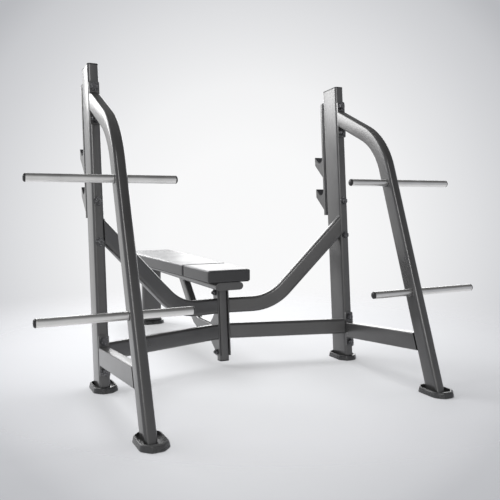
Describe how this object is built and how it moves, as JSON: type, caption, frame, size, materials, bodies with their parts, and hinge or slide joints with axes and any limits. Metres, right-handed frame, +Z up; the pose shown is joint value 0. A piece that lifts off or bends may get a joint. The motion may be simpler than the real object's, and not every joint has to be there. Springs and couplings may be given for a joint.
{
  "type": "olympic bench press",
  "caption": "Flat bench press with leaning bar uprights, lined bar hooks, plate storage horns, sloping rear legs and a tapered split pad on a low beam.",
  "frame": {"origin": "bottom centre of the whole object, on the floor", "axes": "+Z up, +Y from the rack towards the far end of the bench, +X across the rack"},
  "size_m": [1.8724, 2.0804, 1.3484],
  "materials": {
    "frame_coat": "charcoal metallic powder coat, semi-gloss",
    "horn_steel": "satin plated steel",
    "black_plastic": "black moulded plastic",
    "foot_rubber": "dark grey rubber",
    "bolt_black": "black oxide, satin",
    "pad_vinyl": "dark grey upholstery vinyl",
    "board_paint": "plywood, painted black"
  },
  "bodies": {
    "root": {"upright_left": "frame_coat", "upright_cap_left": "black_plastic", "rear_leg_left": "frame_coat", "side_tube_left": "frame_coat", "leg_bolt_upper_left": "bolt_black", "leg_bolt_lower_left": "bolt_black", "mid_bolt_upper_left": "bolt_black", "mid_bolt_lower_left": "bolt_black", "side_bolt_upper_left": "bolt_black", "side_bolt_lower_left": "bolt_black", "hook_rail_left": "frame_coat", "rail_backing_left": "black_plastic", "hook_liner_upper_left": "black_plastic", "hook_liner_lower_left": "black_plastic", "horn_upper_left": "horn_steel", "horn_cap_upper_outer_left": "black_plastic", "horn_cap_upper_inner_left": "black_plastic", "horn_lower_left": "horn_steel", "horn_cap_lower_outer_left": "black_plastic", "horn_cap_lower_inner_left": "black_plastic", "upper_crossbeam_left": "frame_coat", "lower_crossbeam_left": "frame_coat", "centre_plate_left": "frame_coat", "upright_right": "frame_coat", "upright_cap_right": "black_plastic", "rear_leg_right": "frame_coat", "side_tube_right": "frame_coat", "leg_bolt_upper_right": "bolt_black", "leg_bolt_lower_right": "bolt_black", "mid_bolt_upper_right": "bolt_black", "mid_bolt_lower_right": "bolt_black", "side_bolt_upper_right": "bolt_black", "side_bolt_lower_right": "bolt_black", "hook_rail_right": "frame_coat", "rail_backing_right": "black_plastic", "hook_liner_upper_right": "black_plastic", "hook_liner_lower_right": "black_plastic", "horn_upper_right": "horn_steel", "horn_cap_upper_outer_right": "black_plastic", "horn_cap_upper_inner_right": "black_plastic", "horn_lower_right": "horn_steel", "horn_cap_lower_outer_right": "black_plastic", "horn_cap_lower_inner_right": "black_plastic", "upper_crossbeam_right": "frame_coat", "lower_crossbeam_right": "frame_coat", "centre_plate_right": "frame_coat", "centre_post_cap": "black_plastic", "upright_foot_left": "foot_rubber", "rear_foot_left": "foot_rubber", "upright_foot_right": "foot_rubber", "rear_foot_right": "foot_rubber", "centre_post": "frame_coat", "bench_beam": "frame_coat", "bench_post": "frame_coat", "bench_brace": "frame_coat", "bench_foot": "foot_rubber", "head_board": "board_paint", "seat_board": "board_paint", "head_pad": "pad_vinyl", "seat_pad": "pad_vinyl"}
  },
  "joints": []
}
